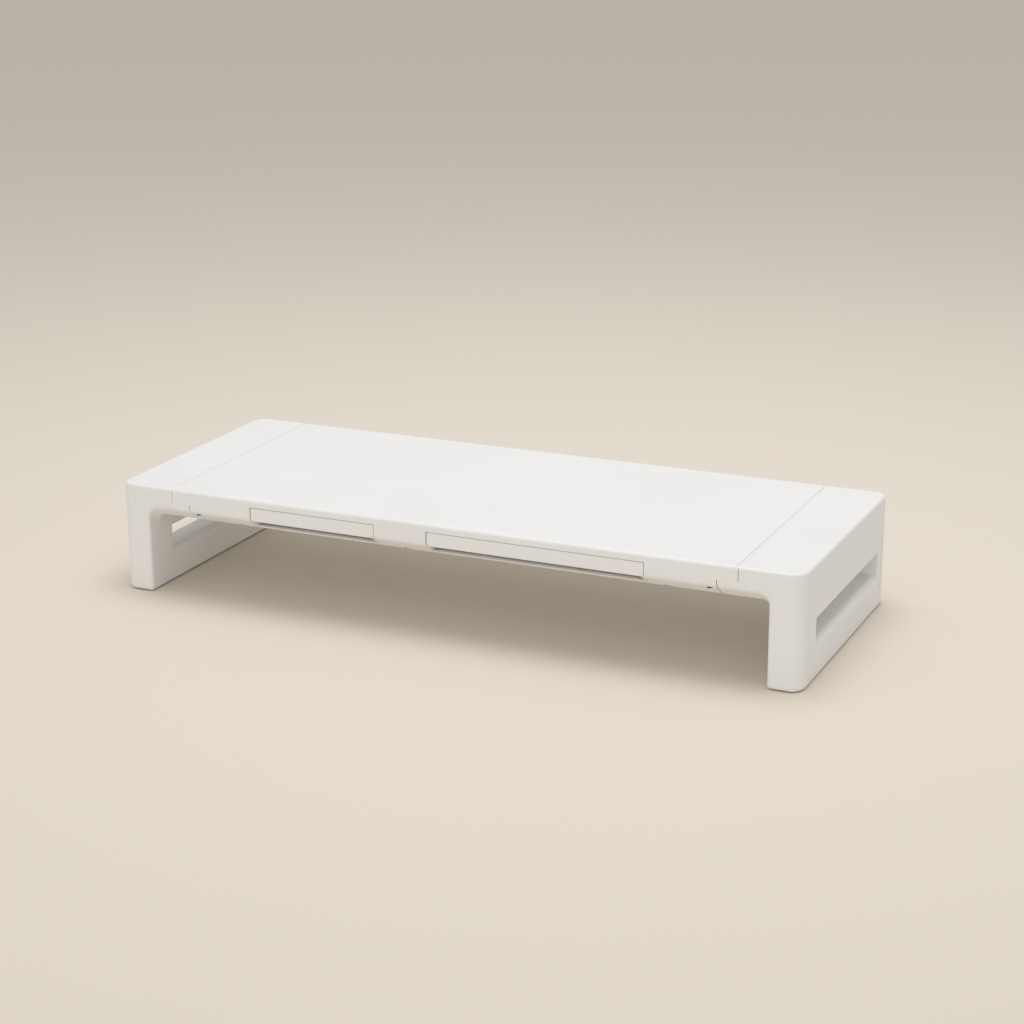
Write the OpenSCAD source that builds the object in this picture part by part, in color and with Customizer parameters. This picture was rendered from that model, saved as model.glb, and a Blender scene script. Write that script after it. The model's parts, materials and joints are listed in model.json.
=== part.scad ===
// Monitor riser stand with two shallow drawers.
// Millimetres. X runs along the stand, the front faces -Y, Z is up and z = 0 is the desk.

/* [Overall size] */
// Width over both legs
total_w = 600; // [480:1:720]
// Depth, front to back
total_d = 228; // [190:1:280]
// Height from the desk to the top face
total_h = 94; // [85:1:130]
// Thickness of the horizontal beam
beam_t = 28; // [24:0.5:36]
// Thickness of each leg
leg_t = 27.3; // [23:0.1:34]

/* [Edges] */
// Radius of the four upright outer corners
corner_r = 12; // [6:0.5:16]
// Radius of the upright inner edges of a leg
inner_edge_r = 3; // [1:0.5:4]
// Radius around the top face
top_edge_r = 2.5; // [1:0.1:3]
// Radius around the bottom of a leg
foot_edge_r = 2; // [1:0.5:4]
// Radius under the beam where it meets a leg
inside_r = 9; // [4:0.5:14]
// Height of the upright front face, above the undercut
front_flat = 17.5; // [15:0.5:19]
// How far the undercut below it runs back
undercut_d = 14; // [10:0.5:18]

/* [Walls and gaps] */
// Moulded wall of the shells
wall = 2.6; // [2:0.1:3.2]
// Plate of the bottom cover and of the side panels
plate_t = 2.4; // [2:0.1:3]
// Width of a rib
rib_t = 2; // [1.5:0.1:2.6]
// Visible gap between the top shell and a leg
seam_gap = 0.6; // [0.3:0.1:1]
// Clearance between parts that are screwed or clipped together
fit_gap = 0.1; // [0.05:0.05:0.2]
// Width of the bevel on each side of a top seam
seam_bevel_w = 1.8; // [0.5:0.1:2.5]
// Depth of that bevel
seam_bevel_h = 0.7; // [0.3:0.1:1.2]

/* [Leg joint] */
// From the outer end to the seam in the top face
seam_inset = 51.5; // [45:0.5:60]
// From the outer end to the lower joint line
slit_inset = 68; // [62:0.5:80]
// Depth of the half-lap step below the top face
lap_drop = 12; // [10:0.5:14]
// Thickness of the tongue
tongue_t = 4; // [3:0.5:5]
// Length of the hidden tongue beyond the lower joint line
tongue_l = 32; // [24:1:40]
// Distance of a leg screw from the front or rear face
leg_screw_inset = 5.5; // [5:0.5:7]
// Distance of a leg screw from the lower joint line
leg_screw_setback = 7; // [6:0.5:10]

/* [Leg window] */
// From the front face to the window
window_front = 34; // [28:1:50]
// From the rear face to the window
window_rear = 26; // [24:1:50]
// Height of the sill above the desk
window_sill = 30; // [28:1:34]
// Height of the window's top edge above the desk
window_top = 50; // [46:1:52]
// Radius of the soft lip on both sides of the sill
sill_r = 6; // [2:0.5:8]
// From the front or rear face to the side panel
panel_inset = 16; // [15:0.5:20]
// Lower edge of the side panel above the desk
panel_bottom = 17; // [14:0.5:19]
// Upper edge of the side panel above the desk
panel_top = 63; // [60:0.5:63.5]

/* [Drawers] */
// Width of each end post, from the lower joint line to a drawer opening
end_post_w = 58.4; // [50:0.1:66]
// Width of the small drawer's opening
small_open_w = 115.6; // [90:0.1:140]
// Width of the post between the drawers
mid_post_w = 46; // [36:0.1:60]
// Gap around a drawer front
drawer_gap = 0.8; // [0.5:0.1:1.2]
// Height of the shell left above the drawer fronts
lintel_h = 6; // [5:0.5:8]
// Thickness of a drawer front
drawer_front_t = 2.6; // [2:0.1:3]
// Wall and floor of a drawer tray
tray_t = 1.8; // [1.4:0.1:2.4]
// How far the finger recess runs back behind a drawer front
finger_d = 13; // [11:0.5:16]
// How far a drawer front hangs below the top of the finger recess
finger_lip = 4; // [3:0.5:5]
// Travel of a drawer
drawer_travel = 130; // [100:1:140]
// Height of a guide rail
rail_h = 2; // [1.6:0.1:2.4]
// Width of a guide rail
rail_w = 8; // [6:0.5:12]
// Running gap between a rail and a tray
run_gap = 0.1; // [0.05:0.05:0.2]

/* [Hardware] */
// Height of the cover's thick edge, up to the joint with the shell
rim_h = 4; // [3.5:0.1:4.5]
// Side of the square steel brace
brace_a = 14; // [10:0.5:15]
// Clearance around the brace
brace_gap = 0.5; // [0.3:0.1:1]
// Wall of the brace
brace_t = 1.2; // [1:0.1:1.5]
// Shank diameter of a screw
screw_d = 3; // [2.5:0.1:3]
// Head diameter of a screw
head_d = 5.5; // [5:0.1:6]
// Height of a screw head
head_h = 2; // [1.6:0.1:2.2]
// Outer diameter of the bosses that take the screws
boss_d = 8; // [7:0.5:9]
// Diameter of the counterbores in the bottom cover
cover_bore_d = 8.5; // [7:0.1:9]
// Depth of those counterbores
cover_bore_h = 2.4; // [2:0.1:2.5]
// Height that the rubber feet stand out below the legs
foot_h = 1; // [0.8:0.1:2]
// Depth of the seat that a foot is stuck into
foot_seat = 1; // [0.6:0.1:1.5]
// Width of a foot
foot_w = 11; // [8:0.5:14]
// Length of a foot
foot_l = 32; // [20:1:44]

/* [Hidden] */
$fn = 64;
over = 1;                                   // extra length of a cut past a face
white = [0.95, 0.95, 0.94];
half_w = total_w / 2;
half_d = total_d / 2;
under_z = total_h - beam_t;                 // underside of the beam
roof_z = total_h - wall;                    // underside of the top wall
fold_z = total_h - front_flat;              // where the undercut starts
undercut_h = fold_z - under_z;
undercut_run = undercut_d / undercut_h;     // run back per millimetre down
skin_run = wall * sqrt(1 + undercut_run * undercut_run);  // the skin's width along Y
part_z = under_z + rim_h;                   // joint between the shell and the cover
floor_z = under_z + plate_t;                // top of the cover plate
seam_x = half_w - seam_inset;
slit_x = half_w - slit_inset;
lap_z = total_h - lap_drop;
tongue_z = lap_z - tongue_t;
tongue_x = slit_x - tongue_l;
leg_in_x = half_w - leg_t;                  // inner face of a leg
panel_y = half_d - panel_inset;
ledge = 2;                                  // step that a side panel rests on
clip_y = panel_y - ledge - 21;              // outer clip arms of a side panel
clip_w = 8;
clip_t = 1.4;
clip_l = 7;                                 // reach of a clip arm behind the plate
panel_back_x = half_w - plate_t;
window_y0 = window_front - half_d;
window_y1 = half_d - window_rear;
tunnel_t = 2.4;                             // wall around the window
tunnel_x = half_w - leg_t / 2;              // the two halves of the window meet here
leg_rib_y = half_d - 44;                    // ribs under a leg's top wall
window_rib_inset = 30;                      // from a window's end to its first rib
window_rib_pitch = 50;
foot_inset = foot_edge_r + 9;               // from the front or rear face to a foot
pocket_y = half_d - foot_inset - foot_l - 14;  // end of the hollows under a leg
small_x0 = end_post_w - slit_x;
small_x1 = small_x0 + small_open_w;
wide_x0 = small_x1 + mid_post_w;
wide_x1 = slit_x - end_post_w;
rim_y = half_d - undercut_d - 9;            // inner side of the cover's thick edge
cover_screw_y = half_d - undercut_d - 1;
brace_y = cover_screw_y - boss_d / 2 - brace_gap - brace_a;  // front face of the brace
back_y = brace_y - brace_gap - rib_t;       // front face of the pockets' rear wall
drawer_top = total_h - lintel_h - drawer_gap;
tray_z = part_z + 0.5;                      // underside of a tray
tray_y0 = finger_d - half_d;
buffer_t = 2;
tray_y1 = back_y - buffer_t;
web_z = fold_z + finger_lip;                // top of the finger recess
stop_h = 1.6;                               // height of the stops that meet at full travel
openings = [[small_x0, small_x1], [wide_x0, wide_x1]];  // sides of the two drawer openings
screw_gap = 0.05;                           // radial gap around a shank
cover_screw_x = [small_x0 - 15, (small_x1 + wide_x0) / 2, wide_x1 + 15];
leg_screw_y = half_d - leg_screw_inset;
leg_screw_x = slit_x - leg_screw_setback;
screw_block_w = 9;                          // blocks and bosses that the leg screws join
screw_block_d = 6;
tongue_boss = 6.5;
tongue_edge_y = half_d - wall - 4 * fit_gap;
tongue_rib_y = half_d - 54;                 // ribs below the tongue
lap_rib_y = half_d - 29;                    // outer ribs that carry the top wall on a tongue
lap_rib_gap = 2;                            // from those ribs to the seam
brace_z = part_z + 3;
brace_x = tongue_x - 2;
brace_screw_x = [-brace_x + 20, (small_x1 + wide_x0) / 2, brace_x - 20];
saddle_x = [-brace_x + 8, brace_screw_x[1] - 8, brace_x - 10];
roof_rib_pitch = 32;
stop_t = 2;                                 // thickness of the stops that end the travel
stop_y = tray_y1 - 2 * stop_t - drawer_travel;
tray_back_y = tray_y1 - 2 * stop_t - tray_t;  // inner face of a tray's back wall
rail_y0 = tray_y0 + 12;
rail_y1 = tray_y1 - 2;
rail_side = 14;                             // from the side of an opening to a rail
rail_xs = [small_x0 + rail_side, small_x1 - rail_side,
           wide_x0 + rail_side, (wide_x0 + wide_x1) / 2, wide_x1 - rail_side];
peg_d = 3;                                  // pegs that locate a rail, near its two ends
peg_inset = 12;
buffer_d = 7;
buffer_side = 20;                           // from the side of an opening to a buffer

// An outline in Y and Z, drawn out along X from x0 to x1
module along_x(x0, x1) {
    translate([x0, 0, 0]) rotate([90, 0, 90]) linear_extrude(x1 - x0) children();
}

// An outline in X and Z, drawn out along Y from y0 to y1
module along_y(y0, y1) {
    translate([0, y1, 0]) rotate([90, 0, 0]) linear_extrude(y1 - y0) children();
}

// A block between two opposite corners
module block(low, high) {
    translate(low) cube(high - low);
}

module mirrored_y() {
    children();
    mirror([0, 1, 0]) children();
}

// What a rounded corner takes away, for a corner at the origin of the lower left quadrant
module corner_waste(r) {
    translate([-r, -r]) difference() {
        square(r + over);
        circle(r);
    }
}

// Outer section of the beam: upright faces, undercuts and a flat underside
module beam_section(low_z) {
    low_y = half_d - (fold_z - low_z) * undercut_run;
    difference() {
        polygon([[-half_d, total_h], [-half_d, fold_z], [-low_y, low_z],
                 [low_y, low_z], [half_d, fold_z], [half_d, total_h]]);
        for (s = [0, 1]) mirror([s, 0]) translate([half_d, total_h]) corner_waste(top_edge_r);
    }
}

// Inner section of the beam, one wall inside the outer one
module beam_hollow(low_z) {
    in_y = half_d - wall;
    turn_z = fold_z + (skin_run - wall) / undercut_run;
    low_y = in_y - (turn_z - low_z) * undercut_run;
    polygon([[-in_y, roof_z], [-in_y, turn_z], [-low_y, low_z],
             [low_y, low_z], [in_y, turn_z], [in_y, roof_z]]);
}

// ---- Legs, drawn for the right end and mirrored for the left ----

// A leg seen from above, with its two kinds of upright edge
module leg_plan(inset) {
    r = corner_r - inset;
    x1 = half_w - inset;
    y1 = half_d - inset;
    difference() {
        translate([0, -y1]) square([x1, 2 * y1]);
        for (s = [0, 1]) mirror([0, s]) translate([x1, y1]) corner_waste(r);
    }
}

module leg_profile() {
    difference() {
        union() {
            translate([leg_in_x, foot_h]) square([leg_t, total_h - foot_h]);
            translate([slit_x, under_z]) square([half_w - slit_x, lap_z - under_z]);
            translate([seam_x + seam_gap / 2, under_z]) square([seam_inset - seam_gap / 2, beam_t]);
            difference() {
                translate([leg_in_x - inside_r, under_z - inside_r]) square(inside_r + over);
                translate([leg_in_x - inside_r, under_z - inside_r]) circle(inside_r);
            }
        }
        translate([half_w, total_h]) corner_waste(top_edge_r);
        translate([half_w, foot_h]) mirror([0, 1]) corner_waste(foot_edge_r);
        translate([leg_in_x, foot_h]) mirror([1, 0]) mirror([0, 1]) corner_waste(foot_edge_r);
        translate([seam_x + seam_gap / 2, total_h])
            polygon([[-over, over], [-over, -seam_bevel_h], [0, -seam_bevel_h],
                     [seam_bevel_w, 0], [seam_bevel_w, over]]);
    }
}

// Edges that follow the upright outer corners, and the edges along the front and rear faces
module leg_edge_waste() {
    mirrored_y() {
        translate([half_w - corner_r, half_d - corner_r, 0]) rotate_extrude(angle = 90) {
            translate([corner_r, total_h]) corner_waste(top_edge_r);
            translate([corner_r, foot_h]) mirror([0, 1]) corner_waste(foot_edge_r);
        }
        along_x(seam_x, half_w - corner_r) translate([half_d, total_h]) corner_waste(top_edge_r);
        along_x(leg_in_x - over, half_w - corner_r)
            translate([half_d, foot_h]) mirror([0, 1]) corner_waste(foot_edge_r);
        translate([leg_in_x, half_d, 0]) mirror([1, 0, 0])
            linear_extrude(under_z) corner_waste(inner_edge_r);
        // the undercut carries on along the beam part of the leg
        along_x(slit_x - over, leg_in_x)
            polygon([[half_d, fold_z], [half_d + over, fold_z], [half_d + over, under_z - inside_r],
                     [half_d - undercut_d, under_z - inside_r], [half_d - undercut_d, under_z]]);
    }
}

module leg_envelope() {
    difference() {
        intersection() {
            along_y(-half_d, half_d) leg_profile();
            linear_extrude(total_h) leg_plan(0);
        }
        leg_edge_waste();
    }
}

// The hollow of the upper part, cored from the joint
module leg_top_hollow() {
    intersection() {
        along_x(slit_x - over, half_w - wall) beam_hollow(under_z + wall);
        linear_extrude(total_h) leg_plan(wall);
    }
}

// The hollow of the upright part, cored from the side that the panel closes
module leg_side_hollow() {
    block([leg_in_x + wall, ledge - panel_y, panel_bottom + ledge],
          [half_w, panel_y - ledge, panel_top - ledge]);
    block([panel_back_x, -panel_y, panel_bottom], [half_w + over, panel_y, panel_top]);
}

module leg_bottom_pockets() {
    for (s = [0, 1]) mirror([0, s, 0])
        block([leg_in_x + wall + foot_edge_r, rib_t / 2, 0],
              [half_w - wall - foot_edge_r, pocket_y, panel_bottom + ledge - wall]);
}

// The shape of the air in a window: upright ends, a level top and a soft lip on each side
module window_air(x0, x1) {
    difference() {
        block([x0, window_y0, window_sill - sill_r], [x1, window_y1, window_top]);
        along_y(window_y0 - over, window_y1 + over) {
            translate([leg_in_x + sill_r, window_sill - sill_r - over])
                square([leg_t - 2 * sill_r, sill_r + over]);
            for (x = [leg_in_x + sill_r, half_w - sill_r])
                translate([x, window_sill - sill_r]) circle(sill_r);
        }
    }
}

module window_frame(x0, x1) {
    block([x0, window_y0 - tunnel_t, window_sill - sill_r - tunnel_t],
          [x1, window_y1 + tunnel_t, window_top + tunnel_t]);
}

module tongue() {
    block([tongue_x, -tongue_edge_y, tongue_z], [seam_x + seam_inset / 2, tongue_edge_y, lap_z]);
    // stiffening ribs below the tongue
    for (y = [-tongue_rib_y, 0, tongue_rib_y])
        block([tongue_x + 3, y - rib_t / 2, part_z + 1], [seam_x + seam_inset / 2, y + rib_t / 2, lap_z]);
    // bosses that the leg screws bite into
    mirrored_y()
        block([leg_screw_x - tongue_boss / 2, tongue_edge_y - tongue_boss, tongue_z],
              [leg_screw_x + tongue_boss / 2, tongue_edge_y, lap_z + 6]);
}

module leg() {
    difference() {
        union() {
            difference() {
                leg_envelope();
                leg_top_hollow();
                leg_side_hollow();
                leg_bottom_pockets();
            }
            tongue();
            intersection() {
                leg_top_hollow();
                for (y = [-leg_rib_y, 0, leg_rib_y])
                    block([seam_x + seam_gap / 2, y - rib_t / 2, under_z],
                          [half_w, y + rib_t / 2, total_h]);
            }
            window_frame(leg_in_x + over, tunnel_x - fit_gap);
            // ribs between the window frame and the walls above and below it
            for (y = [window_y0 + window_rib_inset : window_rib_pitch
                      : window_y1 - window_rib_inset])
                block([leg_in_x + over, y - rib_t / 2, panel_bottom + over],
                      [tunnel_x - fit_gap, y + rib_t / 2, panel_top]);
        }
        window_air(leg_in_x - over, half_w + over);
        mirrored_y() {
            translate([leg_screw_x, leg_screw_y, 0])
                cylinder(h = lap_z + 4, r = screw_d / 2 + screw_gap);
            foot_place() linear_extrude(foot_h + foot_seat) foot_outline(fit_gap);
        }
    }
}

module side_panel() {
    difference() {
        union() {
            block([panel_back_x, fit_gap - panel_y, panel_bottom + fit_gap],
                  [half_w, panel_y - fit_gap, panel_top - fit_gap]);
            window_frame(tunnel_x + fit_gap, half_w);
            // clip arms that hook behind the walls of the leg
            for (y = [-3, -1, 1, 3] * clip_y / 3,
                 z = [panel_bottom + ledge + 0.6, panel_top - ledge - 0.6 - clip_t])
                block([panel_back_x - clip_l, y - clip_w / 2, z],
                      [half_w - over, y + clip_w / 2, z + clip_t]);
        }
        window_air(leg_in_x - over, half_w + over);
    }
}

module foot_outline(grow) {
    r = foot_w / 2 + grow;
    straight = foot_l / 2 - foot_w / 2;
    for (y = [-straight, straight]) translate([0, y]) circle(r);
    translate([-r, -straight]) square([2 * r, 2 * straight]);
}

module foot_place() {
    translate([half_w - leg_t / 2, half_d - foot_inset - foot_l / 2, 0]) children();
}

module foot() {
    foot_place() linear_extrude(foot_h + foot_seat) foot_outline(0);
}

// ---- Centre ----

// Walls that shut the sides of a post or of a drawer pocket
module pocket_walls() {
    for (x = [small_x0 - rib_t, small_x1, wide_x0 - rib_t, wide_x1])
        intersection() {
            along_x(x, x + rib_t) beam_section(part_z);
            block([-half_w, -half_d, 0], [half_w, back_y + rib_t, total_h]);
        }
    for (p = openings)
        block([p[0] - over, back_y, part_z], [p[1] + over, back_y + rib_t, roof_z + over]);
}

// Ribs under the top wall, low enough for the trays to pass beneath them
module roof_ribs() {
    low_z = drawer_top + stop_h + 0.6;
    for (y = [tray_y0 + 21 : roof_rib_pitch : back_y - 20]) for (p = openings)
        block([p[0], y - rib_t / 2, low_z], [p[1], y + rib_t / 2, roof_z + over]);
}

// A rib across each pocket that the stop on a tray meets at full travel
module travel_stops() {
    for (p = openings)
        block([p[0], stop_y - stop_t, drawer_top + 0.4], [p[1], stop_y, roof_z + over]);
}

module shell_bosses() {
    intersection() {
        along_x(-slit_x, slit_x) beam_section(part_z);
        union() {
            for (x = cover_screw_x) mirrored_y()
                translate([x, cover_screw_y, part_z + fit_gap])
                    cylinder(h = roof_z - part_z, r = boss_d / 2);
            // blocks below the tongues, which the leg screws pull them down on
            for (s = [-1, 1]) mirrored_y() translate([s * leg_screw_x, 0, 0])
                block([-screw_block_w / 2, half_d - wall - screw_block_d, part_z + 1],
                      [screw_block_w / 2, half_d, tongue_z]);
            // saddles above the brace
            for (x = saddle_x)
                block([x, back_y + over, brace_z + brace_a], [x + rib_t, half_d - over, roof_z + over]);
            for (x = brace_screw_x) translate([x, brace_y + brace_a / 2, brace_z + brace_a])
                cylinder(h = roof_z - brace_z - brace_a + over, r = boss_d / 2);
        }
    }
    // ribs that carry the top wall on the tongues
    for (s = [0, 1]) mirror([s, 0, 0]) for (y = [-3, -1, 1, 3] * lap_rib_y / 3)
        block([tongue_x, y - rib_t / 2, lap_z],
              [seam_x - lap_rib_gap, y + rib_t / 2, roof_z + over]);
}

module top_shell() color(white) difference() {
    union() {
        difference() {
            union() {
                along_x(-slit_x + seam_gap, slit_x - seam_gap) beam_section(part_z);
                intersection() {
                    along_x(-seam_x + seam_gap / 2, seam_x - seam_gap / 2) beam_section(part_z);
                    block([-half_w, -half_d, lap_z + fit_gap], [half_w, half_d, total_h]);
                }
            }
            along_x(-half_w, half_w) beam_hollow(part_z - over);
            for (p = openings)
                block([p[0], -half_d - over, 0], [p[1], tray_y0 + over, drawer_top + drawer_gap]);
        }
        pocket_walls();
        roof_ribs();
        travel_stops();
        shell_bosses();
    }
    for (s = [0, 1]) mirror([s, 0, 0]) along_y(-half_d - over, half_d + over)
        translate([seam_x - seam_gap / 2, total_h])
            polygon([[over, over], [over, -seam_bevel_h], [0, -seam_bevel_h],
                     [-seam_bevel_w, 0], [-seam_bevel_w, over]]);
    for (x = cover_screw_x) mirrored_y()
        translate([x, cover_screw_y, 0]) cylinder(h = part_z + 14, r = screw_d / 2 + screw_gap);
    for (s = [-1, 1]) mirrored_y() translate([s * leg_screw_x, leg_screw_y, 0]) {
        cylinder(h = tongue_z + over, r = screw_d / 2 + screw_gap);
        cylinder(h = tongue_z - wall, r = head_d / 2 + 0.2);
    }
    for (x = brace_screw_x) translate([x, brace_y + brace_a / 2, brace_z])
        cylinder(h = roof_z - brace_z, r = screw_d / 2 + screw_gap);
}

module bottom_cover() color(white) difference() {
    union() {
        intersection() {
            along_x(-slit_x + seam_gap, slit_x - seam_gap)
                beam_section(under_z);
            union() {
                block([-half_w, -half_d, 0], [half_w, half_d, floor_z]);
                mirrored_y() block([-half_w, rim_y, 0],
                                   [half_w, half_d, part_z - fit_gap]);
            }
        }
        // saddles below the brace
        for (x = saddle_x)
            block([x, brace_y, floor_z - over], [x + rib_t, brace_y + brace_a, brace_z]);
        // pegs that locate the guide rails
        for (x = rail_xs) for (y = [rail_y0 + peg_inset, rail_y1 - peg_inset])
            translate([x, y, floor_z - over]) cylinder(h = over + rail_h / 2, r = peg_d / 2);
    }
    for (x = cover_screw_x) mirrored_y() translate([x, cover_screw_y, 0]) {
        cylinder(h = total_h, r = screw_d / 2 + screw_gap + 0.2);
        cylinder(h = under_z + cover_bore_h, r = cover_bore_d / 2);
    }
}

// ---- Drawers ----

// A one-piece tray whose front hangs over a finger recess
module drawer(x0, x1) {
    fx0 = x0 + drawer_gap;
    fx1 = x1 - drawer_gap;
    difference() {
        union() {
            block([fx0, -half_d, fold_z - 0.7], [fx1, drawer_front_t - half_d, drawer_top]);
            block([fx0, -half_d, web_z], [fx1, tray_y0 + tray_t, drawer_top]);
            block([fx0, tray_y0, tray_z], [fx1, tray_y1, drawer_top]);
            // cheeks that close the two ends of the finger recess and follow the undercut
            intersection() {
                along_x(fx0, fx1) beam_section(tray_z);
                for (x = [fx0, fx1 - tray_t])
                    block([x, -half_d, tray_z], [x + tray_t, tray_y0 + tray_t, drawer_top]);
            }
            // the stop that ends the travel
            block([fx0 + 8, tray_y1 - 2 * stop_t, drawer_top - over],
                  [fx1 - 8, tray_y1 - stop_t, drawer_top + stop_h]);
        }
        block([fx0 + tray_t, drawer_front_t - half_d, web_z + tray_t],
              [fx1 - tray_t, tray_y0 + 2 * tray_t, drawer_top + over]);
        block([fx0 + tray_t, tray_y0 + tray_t, tray_z + tray_t],
              [fx1 - tray_t, tray_back_y, drawer_top + over]);
        translate([0, -half_d, drawer_top]) along_x(x0, x1)
            mirror([1, 0]) corner_waste(0.6);
    }
}

module rails(xs) color("ghostwhite") difference() {
    for (x = xs) block([x - rail_w / 2, rail_y0, floor_z],
                       [x + rail_w / 2, rail_y1, tray_z - run_gap]);
    for (x = xs) for (y = [rail_y0 + peg_inset, rail_y1 - peg_inset])
        translate([x, y, floor_z - over]) cylinder(h = 3 * rail_h, r = peg_d / 2 + screw_gap);
}

module buffers(x0, x1) color("dimgray") for (x = [x0 + buffer_side, x1 - buffer_side])
    translate([x, back_y, (tray_z + drawer_top) / 2]) rotate([90, 0, 0])
        cylinder(h = buffer_t - fit_gap, r = buffer_d / 2);

// ---- Hardware ----

module rear_brace() color("silver") difference() {
    block([-brace_x, brace_y, brace_z], [brace_x, brace_y + brace_a, brace_z + brace_a]);
    block([-brace_x - over, brace_y + brace_t, brace_z + brace_t],
          [brace_x + over, brace_y + brace_a - brace_t, brace_z + brace_a - brace_t]);
    for (x = brace_screw_x) translate([x, brace_y + brace_a / 2, 0]) {
        cylinder(h = total_h, r = screw_d / 2 + screw_gap);
        cylinder(h = brace_z + brace_t + over, r = head_d / 2 + 0.5);
    }
}

// A pan-head screw, head at the bottom, with a six-sided socket
module screw(length) {
    difference() {
        union() {
            cylinder(h = head_h, r = head_d / 2);
            cylinder(h = head_h + length, r = screw_d / 2);
        }
        translate([0, 0, -over]) cylinder(h = over + 0.65 * head_h, r = 0.27 * head_d, $fn = 6);
    }
}

module brace_screws() color("gray")
    for (x = brace_screw_x) translate([x, brace_y + brace_a / 2, brace_z + brace_a - brace_t - head_h])
        screw(brace_t + roof_z - brace_z - brace_a - over);

module cover_screws() color("gray")
    for (x = cover_screw_x) mirrored_y()
        translate([x, cover_screw_y, under_z + cover_bore_h - head_h]) screw(12);

module leg_screws() color("black")
    for (s = [-1, 1]) mirrored_y()
        translate([s * leg_screw_x, leg_screw_y, tongue_z - wall - head_h])
            screw(wall + tongue_t + 3);

module right_leg() color(white) leg();
module left_leg() color(white) mirror([1, 0, 0]) leg();
module right_side_panel() color(white) side_panel();
module left_side_panel() color(white) mirror([1, 0, 0]) side_panel();
module small_drawer() color(white) drawer(small_x0, small_x1);
module wide_drawer() color(white) drawer(wide_x0, wide_x1);
module small_drawer_rails() rails([rail_xs[0], rail_xs[1]]);
module wide_drawer_rails() rails([rail_xs[2], rail_xs[3], rail_xs[4]]);
module small_drawer_buffers() buffers(small_x0, small_x1);
module wide_drawer_buffers() buffers(wide_x0, wide_x1);
module rear_right_foot() color("dimgray") foot();
module front_right_foot() color("dimgray") mirror([0, 1, 0]) foot();
module rear_left_foot() color("dimgray") mirror([1, 0, 0]) foot();
module front_left_foot() color("dimgray") mirror([1, 0, 0]) mirror([0, 1, 0]) foot();

top_shell();
bottom_cover();
left_leg();
right_leg();
left_side_panel();
right_side_panel();
small_drawer();
wide_drawer();
small_drawer_rails();
wide_drawer_rails();
small_drawer_buffers();
wide_drawer_buffers();
rear_brace();
brace_screws();
cover_screws();
leg_screws();
front_left_foot();
rear_left_foot();
front_right_foot();
rear_right_foot();
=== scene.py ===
"""Monitor riser stand: moulded skins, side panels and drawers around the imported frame."""

import json
import math

import bmesh
import bpy
import numpy as np
from mathutils import Matrix, Vector


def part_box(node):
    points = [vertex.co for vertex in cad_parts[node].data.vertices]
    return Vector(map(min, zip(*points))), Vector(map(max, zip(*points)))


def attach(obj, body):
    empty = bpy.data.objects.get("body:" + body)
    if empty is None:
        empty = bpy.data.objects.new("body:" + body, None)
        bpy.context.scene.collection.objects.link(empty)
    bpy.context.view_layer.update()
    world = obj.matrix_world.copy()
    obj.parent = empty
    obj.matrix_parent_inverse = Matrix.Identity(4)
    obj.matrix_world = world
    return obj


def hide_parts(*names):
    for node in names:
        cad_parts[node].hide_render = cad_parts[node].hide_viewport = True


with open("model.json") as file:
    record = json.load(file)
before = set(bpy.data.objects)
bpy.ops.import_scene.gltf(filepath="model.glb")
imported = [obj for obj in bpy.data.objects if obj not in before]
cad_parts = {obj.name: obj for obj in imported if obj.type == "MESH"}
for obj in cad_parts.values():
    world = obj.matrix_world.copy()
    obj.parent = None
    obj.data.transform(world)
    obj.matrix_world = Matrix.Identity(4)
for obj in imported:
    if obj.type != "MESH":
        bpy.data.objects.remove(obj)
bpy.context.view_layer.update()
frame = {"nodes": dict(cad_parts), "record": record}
MM = 0.001


# ---- Sizes in millimetres, read from the frame ----

def mm_box(node):
    """Lowest and highest corner of a CAD node, in millimetres."""
    low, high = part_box(node)
    return np.array(low) / MM, np.array(high) / MM


leg_low, leg_high = mm_box("right_leg")
shell_low, shell_high = mm_box("top_shell")
cover_low, cover_high = mm_box("bottom_cover")
panel_low, panel_high = mm_box("right_side_panel")
small_low, small_high = mm_box("small_drawer")
wide_low, wide_high = mm_box("wide_drawer")
leg_screw_low, leg_screw_high = mm_box("leg_screws")
cover_screw_high = mm_box("cover_screws")[1]

HALF_W = leg_high[0]
HALF_D = leg_high[1]
TOP_Z = leg_high[2]
LEG_Z = leg_low[2]                      # underside of a leg, above the rubber feet
UNDER_Z = cover_low[2]                  # underside of the beam
PART_Z = shell_low[2]                   # joint between the top shell and the bottom cover
SHELL_X = shell_high[0]                 # end of the top shell at the seam
COVER_X = cover_high[0]                 # end of the shell's lower part and of the cover
SEAM_GAP = 0.6
SLIT_X = COVER_X + SEAM_GAP
FIT_GAP = 0.1
LEG_T = 2 * (HALF_W - panel_low[0] + FIT_GAP)
LEG_IN_X = HALF_W - LEG_T
LAP_Z = TOP_Z - 12
WALL = 2.6
CORNER_R = 12
TOP_R = 2.5
FOOT_R = 2
INNER_R = 3
INSIDE_R = 9
FOLD_Z = TOP_Z - 17.5                   # where the undercut starts
UNDERCUT_D = 14
FOLD_R = 7                              # softness of the edge between front face and undercut
HEEL_R = 8                              # softness of the edge between undercut and underside
SEAM_W = 1.9                            # width of each half of the groove in the top face
SEAM_DEPTH = 1.1
window = next(o for o in frame["record"]["physics"]["openings"] if o["name"] == "right_window")
WINDOW_ROOM = np.array([0, 0.3, 0.2])    # how far the window is wider than its stated opening
window_low = np.round(np.array(window["box_m"][0]) / MM - WINDOW_ROOM, 3)
window_high = np.round(np.array(window["box_m"][1]) / MM + WINDOW_ROOM, 3)
WINDOW_Y = (float(window_low[1]), float(window_high[1]))
WINDOW_Z = (float(window_low[2]), float(window_high[2]))
SILL_R = 6
LIP_R = 0.6
FRAME_T = 2.4                           # wall of the panel's half of the window
TUNNEL_X = panel_low[0] - FIT_GAP
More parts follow.
